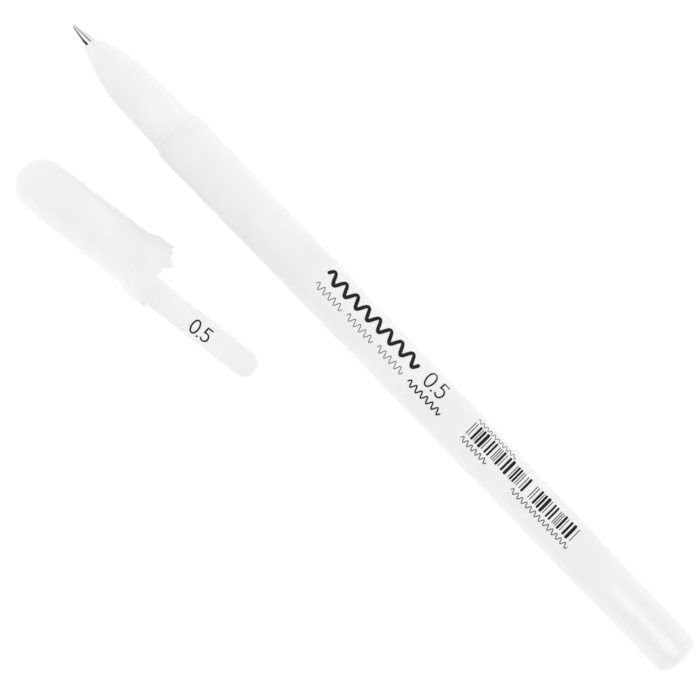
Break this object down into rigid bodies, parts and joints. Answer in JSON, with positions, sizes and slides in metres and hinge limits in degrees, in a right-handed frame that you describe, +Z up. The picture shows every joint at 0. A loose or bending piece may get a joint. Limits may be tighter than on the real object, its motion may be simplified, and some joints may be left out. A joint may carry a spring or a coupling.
{
  "type": "gel pen",
  "caption": "Slim gel pen in frosted plastic with a steel ball point, lying uncapped beside its domed clip cap.",
  "frame": {"origin": "under the middle of the pair's bounding box, on the table surface that the pen and the cap lie on", "axes": "+X along the pen from the writing point to the tail, +Y from the cap towards the pen, +Z up from the table"},
  "size_m": [0.1448, 0.0312, 0.0129],
  "materials": {
    "frosted_barrel": "fine frosted translucent polypropylene",
    "frosted_nose": "fine frosted translucent polypropylene",
    "tail_plastic": "white polypropylene",
    "cap_plastic": "fine frosted translucent polypropylene",
    "point_steel": "turned stainless steel, fine turning marks",
    "ball_carbide": "lapped tungsten carbide",
    "holder_plastic": "natural acetal",
    "tube_plastic": "clear-natural extruded polypropylene",
    "white_gel": "opaque white gel ink",
    "follower_grease": "clear grease",
    "seal_rubber": "soft natural elastomer"
  },
  "bodies": {
    "pen": {"barrel": "frosted_barrel", "nose_section": "frosted_nose", "tail_plug": "tail_plastic", "tip_housing": "point_steel", "tip_holder": "holder_plastic", "reservoir_tube": "tube_plastic", "gel_ink": "white_gel"},
    "ball": {"writing_ball": "ball_carbide"},
    "follower": {"ink_follower": "follower_grease"},
    "cap": {"cap_shell": "cap_plastic", "cap_seal": "seal_rubber"},
    "clip": {"clip": "cap_plastic"}
  },
  "joints": [
    {"name": "cap_pull", "type": "slide", "parent": "pen", "child": "cap", "axis": [-0.9895, -0.1444, 0], "range_m": [0, 0.028]},
    {"name": "clip_flex", "type": "hinge", "parent": "cap", "child": "clip", "pos_m": [-0.03131, -0.00979, 0.01047], "axis": [0.15, -0.8753, -0.4597], "range_deg": [0, 6], "stiffness_Nm_per_rad": 0.1},
    {"name": "ball_roll", "type": "hinge", "parent": "pen", "child": "ball", "pos_m": [-0.07215, 0.01096, 0.0048], "axis": [0, 1, 0], "continuous": true},
    {"name": "follower_travel", "type": "slide", "parent": "pen", "child": "follower", "axis": [1, 0, -0.0057], "range_m": [-0.081, 0], "deforming": ["gel_ink"]}
  ]
}
